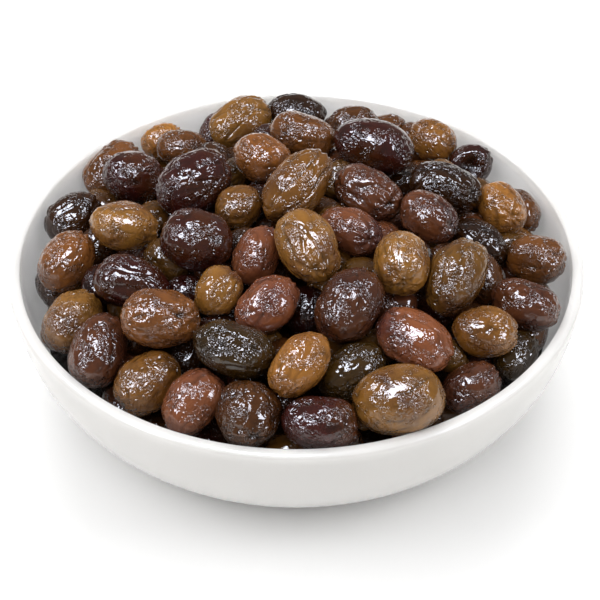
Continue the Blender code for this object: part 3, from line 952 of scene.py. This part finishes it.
@dataclass
class Olive:
    """One olive: where it lies, how large it is, and how its skin has wrinkled and coloured.

    Its shape is worked out with its long axis upright. viewer is the direction of the camera from there
    and stem the direction of its stem dimple. Angles and spreads round the dimple are in radians. The
    shares say how dark the painted shade in each kind of crease is, and how much the blush follows its
    pattern and one end.
    """

    middle: Array
    axis: Array
    half: Array
    kind: Ripeness
    relief: Relief
    tone: float
    seed: float
    viewer: Array
    stem: Array
    fullness: float = 2.2
    taper: float = 0.06
    flattening: float = 0.05
    dent_size: float = 8 * MM
    pucker: tuple[float, float, float] = (0.6, 1.3, 0.15)
    fold_middle: float = 0.7
    groove_size: tuple[float, float, float] = (6 * MM, 6 * MM, 22 * MM)
    groove_spread: float = 0.07
    stem_pit: float = 1.1 * MM
    pit_spread: float = 0.16
    pleats: int = 7
    pleat: float = 0.4 * MM
    pleat_angle: float = 0.35
    pleat_spread: float = 0.2
    tip: float = 0.35 * MM
    tip_spread: float = 0.2
    hollow_spread: float = 0.6
    fold_shade: Point = (0.4, 1.4)
    # how much painted shade the grooves, the stem pit and a hollow get
    crease_shade_shares: tuple[float, float, float] = (0.35, 0.6, 0.8)
    blush_size: float = 11 * MM
    blush_shares: tuple[float, float, float] = (0.25, 0.9, 0.35)

    def body(self, ball: Array) -> Array:
        """The plump form before it wrinkles.

        Args:
            ball: points of a sphere of radius 1.

        Returns:
            The same points on the olive, in metres round its middle.
        """
        across = np.hypot(ball[:, 0], ball[:, 1])
        full = (across**self.fullness + np.abs(ball[:, 2]) ** self.fullness) ** (-1 / self.fullness)
        narrowing = 1 - self.taper * ball[:, 2] * math.sin(self.seed * 7)
        flatness = 1 - self.flattening * (1 - math.cos(self.seed * 3))
        wide, long_half = self.half[1] * narrowing, self.half[0]
        return ball * full[:, None] * np.column_stack((wide, wide * flatness, np.full(len(ball), long_half)))

    def wrinkled(self, ball: Array) -> tuple[Array, Array, Array]:
        """Draw the plump form in along its dents, grooves and folds.

        Args:
            ball: points of a sphere of radius 1.

        Returns:
            The points, how much painted shade each gets for lying in a crease, from 0 to 1, and how far each
            has turned to the blush colour.
        """
        shrink = SHRINKAGE[self.relief]
        body = self.body(ball)
        outwards = ball / (self.half[1], self.half[1], self.half[0])
        outwards /= np.linalg.norm(outwards, axis=1, keepdims=True)
        shift = np.array((self.seed, 2.3 * self.seed, -1.7 * self.seed))

        dents = noise_at(body / self.dent_size + shift, noise.noise)
        pucker, pucker_change, least_pucker = self.pucker
        puckered = pucker + pucker_change * noise_at(body / self.dent_size - shift, noise.noise)
        puckered = np.clip(puckered, least_pucker, 1)
        stretched = body / (1, 1, shrink.stretch) / shrink.fold_size
        folds = noise_at(stretched + shift + 0.5 * dents[:, None], lambda p: noise.turbulence(p, 2, True))
        groove = bell(noise_at(body / self.groove_size + 3 * shift, noise.noise), self.groove_spread)

        angle = np.arccos(np.clip(ball @ self.stem, -1, 1))
        side = unit(np.cross(self.stem, (1, 0.2, 0.1)))
        around = np.arctan2(ball @ np.cross(self.stem, side), ball @ side)
        pit = bell(angle, self.pit_spread)
        pleats = np.cos(self.pleats * around + 4 * dents) * bell(angle - self.pleat_angle, self.pleat_spread)
        hollow = bell(np.arccos(np.clip(ball @ self.viewer, -1, 1)), self.hollow_spread, 4)

        push = shrink.dent * dents - shrink.groove * groove
        push += shrink.fold * puckered * (folds - self.fold_middle)
        push += self.pleat * pleats - self.stem_pit * pit - shrink.hollow * hollow
        push += self.tip * bell(np.arccos(np.clip(-ball[:, 2], -1, 1)), self.tip_spread)
        # Painted shade: points down in folds, grooves, the stem pit and a hollow are darkened by the crease
        # colour
        valley, valley_gain = self.fold_shade
        groove_share, pit_share, hollow_share = self.crease_shade_shares
        crease_shade = puckered * (valley - folds) * valley_gain + groove_share * groove + pit_share * pit
        crease_shade += hollow_share * hollow * (shrink.hollow > 0)
        blush, blush_change, end_share = self.blush_shares
        blush = blush + blush_change * noise_at(body / self.blush_size + 2 * shift, noise.noise)
        blush += end_share * ball[:, 2] * math.sin(self.seed * 5)
        return body + outwards * push[:, None], np.clip(crease_shade, 0, 1), np.clip(blush, 0, 1)


@dataclass
class Ball:
    """A round blank with even faces, which every olive of one fineness is copied from."""

    cuts: int
    blank: bpy.types.Object = field(init=False)

    def __post_init__(self) -> None:
        """Model the blank: a cube, cut finely and pushed out to a sphere of radius 1."""
        bpy.ops.object.select_all(action="DESELECT")
        bpy.ops.mesh.primitive_cube_add(size=1.1, location=(0, 0, 0))
        self.blank = bpy.context.active_object
        bpy.ops.object.mode_set(mode="EDIT")
        bpy.ops.mesh.select_all(action="SELECT")
        bpy.ops.mesh.subdivide(number_cuts=self.cuts)
        bpy.ops.transform.tosphere(value=1)
        bpy.ops.object.mode_set(mode="OBJECT")
        self.blank.name = "round_blank"

    def points(self) -> Array:
        """The blank's points, brought to radius 1 exactly."""
        flat = np.empty(3 * len(self.blank.data.vertices))
        self.blank.data.vertices.foreach_get("co", flat)
        points = flat.reshape(-1, 3)
        return points / np.linalg.norm(points, axis=1, keepdims=True)

    def copy(self, name: str) -> bpy.types.Object:
        """A copy of the blank with its own mesh."""
        copied = bpy.data.objects.new(name, self.blank.data.copy())
        bpy.context.scene.collection.objects.link(copied)
        return copied

    def discard(self) -> None:
        """Take the blank away once the olives are made."""
        bpy.data.objects.remove(self.blank)


@dataclass
class OliveHeap:
    """All the olives: each is shaped, pressed flat where it meets others, and joined by colour kind."""

    layout: HeapLayout
    shown_cuts: int = 28
    fill_cuts: int = 16
    bed_cuts: int = 9
    press: float = 0.15 * MM
    softness: float = 0.7 * MM
    seed: int = 5
    # the hidden olives keep to the dark end of the tones: partly their own random tone, partly painted shade
    # for lying in the gaps
    hidden_shaded_tones: Point = (-0.9, -0.1)
    pieces: dict[Ripeness, list[bpy.types.Object]] = field(default_factory=dict)
    hidden_kinds: tuple[Ripeness, ...] = (
        Ripeness.UMBER,
        Ripeness.AUBERGINE,
        Ripeness.ROSY,
        Ripeness.CHESTNUT,
        Ripeness.KHAKI,
        Ripeness.GOLDEN,
    )

    def place(self) -> tuple[Placed, Placed]:
        """Work out where the shown olives lie, and where all of them do."""
        loose, rays = self.layout.shown()
        shown = self.layout.settle(loose, rays)
        return shown, self.layout.fill(shown)

    def olives(self, shown: Placed, placed: Placed) -> list[Olive]:
        """Give every placed olive its kind, relief and tone.

        Args:
            shown: the olives that the photograph shows.
            placed: those and all the others.

        Returns:
            The olives in the order of placed.
        """
        random = np.random.default_rng(self.seed)
        right, up, forward = self.layout.photograph.directions()
        made = []
        for index, middle in enumerate(placed.middles):
            axis, half = placed.axes[index], placed.halves[index]
            seed = random.uniform(0, 90)
            drawn_kind = self.hidden_kinds[int(random.integers(len(self.hidden_kinds)))]
            drawn_tone = random.uniform(*self.hidden_shaded_tones)
            if index < len(shown.middles):
                known = SHOWN_OLIVES[index]
                kind, relief, tone, dimple = known.kind, known.relief, known.tone, known.dimple
                axis = axis if known.turn == known.lie else -axis
            else:
                kind, relief, tone, dimple = drawn_kind, Relief.FINE, drawn_tone, None
            viewer = olive_frame(axis).T @ unit(self.layout.photograph.eye() - middle)
            stem = np.array((0.0, 0.0, 1.0))
            if dimple:
                depth = math.sqrt(1 - dimple[0] ** 2 - dimple[1] ** 2)
                seen = right * dimple[0] + up * dimple[1] - forward * depth
                stem = olive_frame(axis).T @ seen
            made.append(Olive(middle, axis, half, kind, relief, tone, seed, viewer, stem))
        return made

    def pressed(self, points: Array, index: int, placed: Placed) -> Array:
        """Flatten an olive softly where its neighbours and the bowl's wall press on it.

        Args:
            points: the olive's points, in place.
            index: its number in placed.
            placed: all the olives.

        Returns:
            The points, none of them past a contact plane or in the wall.
        """
        middle = placed.middles[index]
        apart = placed.middles - middle
        distance = np.linalg.norm(apart, axis=1)
        distance[index] = 1
        towards = apart / distance[:, None]
        own = reach(placed.axes[index], placed.halves[index], towards)
        overlap = own + reach(placed.axes, placed.halves, towards) - distance
        overlap[index] = 0
        for other in np.flatnonzero(overlap > self.press):
            limit = own[other] - overlap[other] / 2
            beyond = (points - middle) @ towards[other] - (limit - self.softness)
            inside = np.maximum(beyond, 0)
            kept = self.softness * (1 - np.exp(-inside / self.softness))
            points = points - np.outer(inside - kept, towards[other])
        radius = np.hypot(points[:, 0], points[:, 1])
        wall = self.layout.section.inner_radius(points[:, 2]) - self.press
        below = points[:, 2] < self.layout.section.height
        squeeze = np.where(below & (radius > wall), wall / radius, 1)
        return points * np.column_stack((squeeze, squeeze, np.ones(len(points))))

    def shape(self, olive: Olive, index: int, placed: Placed, ball: Ball, points: Array) -> None:
        """Make one olive's mesh from a ball and keep it with its kind.

        Args:
            olive: the olive.
            index: its number in placed.
            placed: all the olives.
            ball: the blank that it is copied from.
            points: the blank's points.
        """
        piece = ball.copy(f"{olive.kind.value}_olive")
        shaped, crease_shade, blush = olive.wrinkled(points)
        shaped = olive.middle + shaped @ olive_frame(olive.axis).T
        shaped = self.pressed(shaped, index, placed)
        mesh = piece.data
        mesh.vertices.foreach_set("co", shaped.ravel())
        tone = np.full(len(points), olive.tone)
        # the crease values are painted shade for the skin's creases
        for name, values in {"crease_shade": crease_shade, "blush": blush, "tone": tone}.items():
            mesh.attributes.new(name, "FLOAT", "POINT").data.foreach_set("value", values)
        mesh.shade_smooth()
        mesh.update()
        self.pieces.setdefault(olive.kind, []).append(piece)

    def build(self) -> tuple[list[bpy.types.Object], Placed]:
        """Shape every olive and join those of a kind.

        Returns:
            One object for each kind, and where the shown olives lie.
        """
        shown, placed = self.place()
        olives = self.olives(shown, placed)
        fine, medium, coarse = Ball(self.shown_cuts), Ball(self.fill_cuts), Ball(self.bed_cuts)
        blanks = {ball.cuts: (ball, ball.points()) for ball in (fine, medium, coarse)}
        deepest = self.layout.fill_depths[-1] + 1 * MM
        for index, olive in enumerate(olives):
            if index < len(shown.middles):
                cuts = self.shown_cuts
            elif self.layout.level([olive.middle[:2]], shown)[0] - olive.middle[2] < deepest:
                cuts = self.fill_cuts
            else:
                cuts = self.bed_cuts
            self.shape(olive, index, placed, *blanks[cuts])
        for ball in (fine, medium, coarse):
            ball.discard()
        joined = []
        for kind, parts in self.pieces.items():
            select_only(parts[0])
            for part in parts:
                part.select_set(True)
            bpy.ops.object.join()
            parts[0].name = f"{kind.value}_olives"
            joined.append(parts[0])
        return joined, shown

    def dress(self, joined: list[bpy.types.Object]) -> None:
        """Give each kind its skin, and let all of them stand for the solid heap.

        Args:
            joined: one object for each kind, in the order of pieces.
        """
        for kind, piece in zip(self.pieces, joined):
            piece.data.materials.clear()
            piece.data.materials.append(SKINS[kind].make(f"oiled_{kind.value}_skin"))
            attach(piece, "root")
            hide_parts("olive_heap")


@dataclass
class HeapCore:
    """The bed of olives at the bottom of the bowl, a lumpy sheet which only shows down deep gaps; its
    near-black skin is painted shade.
    """

    layout: HeapLayout
    depth: float = 21 * MM
    edge_height: float = 30 * MM
    gap: float = 0.5 * MM
    sides: int = 96
    ring: float = 4 * MM
    wall_skip: int = 3
    floor_gap: float = 1.2 * MM
    edge_margin: float = 1 * MM
    lump: float = 5 * MM
    lump_size: float = 9 * MM
    # near-black colours: painted shade for the olives deep in the gaps
    finish: SkinFinish = SkinFinish("#1E120A", "#160C08", "#0C0604", "#2A1A10", roughness=0.45, oil=0.3)

    def build(self, shown: Placed) -> bpy.types.Object:
        """Model the bed: rings over the top, then down the wall and over the floor.

        Args:
            shown: where the shown olives lie, which the bed's top follows.

        Returns:
            The bed's object.
        """
        section = self.layout.section
        edge = (section.inner_radius(self.edge_height) - self.gap, self.edge_height)
        radii = np.arange(self.ring, self.layout.radius - self.ring, self.ring)
        top = [(radius, section.height) for radius in radii]
        below_edge = self.edge_height - self.edge_margin
        wall = [(r - self.gap, z) for r, z in section.wall_run(section.wall) if z < below_edge]
        floor = (section.foot_radius, section.foot_depth + section.floor_thickness + self.floor_gap)
        core = turned_piece("bed_of_olives", top + [edge] + wall[:: self.wall_skip] + [floor], self.sides)
        for vert in core.data.vertices:
            if vert.co.z > self.edge_height + self.edge_margin:
                lump = self.lump * abs(noise.noise(vert.co / self.lump_size))
                vert.co.z = self.layout.level([vert.co[:2]], shown)[0] - self.depth + lump
        core.data.shade_smooth()
        return core

    def dress(self, core: bpy.types.Object) -> None:
        """Give the bed a skin darkened as painted shade, and let it stand for the solid heap with the olives.
        """
        core.data.materials.append(self.finish.make("shaded_olive_skin"))
        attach(core, "root")
        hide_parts("olive_heap")


class LightRole(Enum):
    """What a studio light does: light the surfaces softly, or show as glints in wet ones."""

    FILL = "fill"
    GLINT = "glint"


@dataclass(frozen=True)
class Softbox:
    """A studio light: a flat panel that faces the bowl."""

    name: str
    role: LightRole
    place: tuple[float, float, float]
    size: Point
    power: float
    colour: tuple[float, float, float] = (1.0, 1.0, 1.0)

    def light(self, target: Vector) -> None:
        """Set the panel up.

        Args:
            target: the point that it faces.
        """
        panel = bpy.data.lights.new(self.name, "AREA")
        panel.shape = "RECTANGLE"
        panel.size, panel.size_y = self.size
        panel.energy = self.power
        panel.color = self.colour
        holder = bpy.data.objects.new(self.name, panel)
        holder.location = self.place
        holder.rotation_euler = (target - holder.location).to_track_quat("-Z", "Y").to_euler()
        holder.visible_diffuse = self.role is LightRole.FILL
        holder.visible_glossy = self.role is LightRole.GLINT
        bpy.context.scene.collection.objects.link(holder)


GLINT_BLUE = (0.84, 0.88, 1.0)


@dataclass(frozen=True)
class Studio:
    """The plain white floor, the soft light and the view."""

    photograph: Photograph
    floor_size: float = 8.0
    floor_colour: str = "#FCFCFC"
    sky: float = 0.2
    softboxes: tuple[Softbox, ...] = (
        Softbox("overhead_fill", LightRole.FILL, (-0.3, -0.1, 1.6), (2.4, 2.4), 24.0),
        Softbox("front_fill", LightRole.FILL, (0.0, -1.4, 1.3), (1.6, 0.8), 6.5),
        Softbox("left_fill", LightRole.FILL, (-1.2, -0.2, 0.9), (0.8, 0.8), 4.6),
        Softbox("right_fill", LightRole.FILL, (1.2, -0.2, 0.9), (0.8, 0.8), 6.0),
        Softbox("back_fill", LightRole.FILL, (0.0, 1.4, 1.2), (1.6, 0.8), 20.0),
        Softbox("key_glint", LightRole.GLINT, (-0.22, -0.3, 1.3), (0.68, 0.54), 25.0, GLINT_BLUE),
        Softbox("left_glint", LightRole.GLINT, (-1.0, -0.6, 0.85), (0.4, 0.4), 9.5, GLINT_BLUE),
        Softbox("right_glint", LightRole.GLINT, (1.0, -0.6, 0.85), (0.4, 0.38), 8.5, GLINT_BLUE),
        Softbox("far_left_glint", LightRole.GLINT, (-0.9, 0.35, 1.1), (0.32, 0.32), 5.5, GLINT_BLUE),
        Softbox("far_right_glint", LightRole.GLINT, (0.8, 0.25, 1.2), (0.32, 0.32), 5.0, GLINT_BLUE),
    )

    def build(self) -> None:
        """Lay the floor, set the lights and the sky, and place the camera."""
        bpy.ops.object.select_all(action="DESELECT")
        bpy.ops.mesh.primitive_plane_add(size=self.floor_size, location=(0, 0, 0))
        floor = bpy.context.active_object
        floor.name = "studio_floor"
        material, _, shader = new_material("matt_white_floor")
        shader.inputs["Base Color"].default_value = linear(self.floor_colour)
        shader.inputs["Roughness"].default_value = 0.9
        shader.inputs["Specular IOR Level"].default_value = 0.1
        floor.data.materials.append(material)
        for softbox in self.softboxes:
            softbox.light(Vector((0, 0, self.photograph.rim_height)))
        world = bpy.data.worlds.new("studio_sky")
        world.use_nodes = True
        world.node_tree.nodes["Background"].inputs["Color"].default_value = (1, 1, 1, 1)
        world.node_tree.nodes["Background"].inputs["Strength"].default_value = self.sky
        bpy.context.scene.world = world
        bpy.context.scene.view_settings.view_transform = "Standard"
        self.photograph.set_camera()


def main() -> None:
    """Build the bowl, its bed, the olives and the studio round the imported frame."""
    logging.basicConfig(level=logging.INFO, format="%(name)s: %(message)s")
    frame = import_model()
    LOG.info("frame holds %s", ", ".join(frame["nodes"]))
    low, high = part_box("dish")
    section = BowlSection(rim_radius=(high.x - low.x) / 2, height=high.z - low.z)
    solid_section = replace(section, wall_steps=SOLID_WALL_STEPS)
    photograph = Photograph(rim_height=section.height)
    layout = HeapLayout(photograph, solid_section)

    bowl = Bowl(section)
    bowl_piece = bowl.build()
    bowl.dress(bowl_piece)
    LOG.info("bowl: %d faces", len(bowl_piece.data.polygons))

    heap = OliveHeap(layout)
    olive_pieces, shown = heap.build()
    heap.dress(olive_pieces)
    for piece in olive_pieces:
        LOG.info("%s: %d faces", piece.name, len(piece.data.polygons))

    core = HeapCore(layout)
    core_piece = core.build(shown)
    core.dress(core_piece)
    LOG.info("bed: %d faces", len(core_piece.data.polygons))

    Studio(photograph).build()


if __name__ == "__main__":
    main()
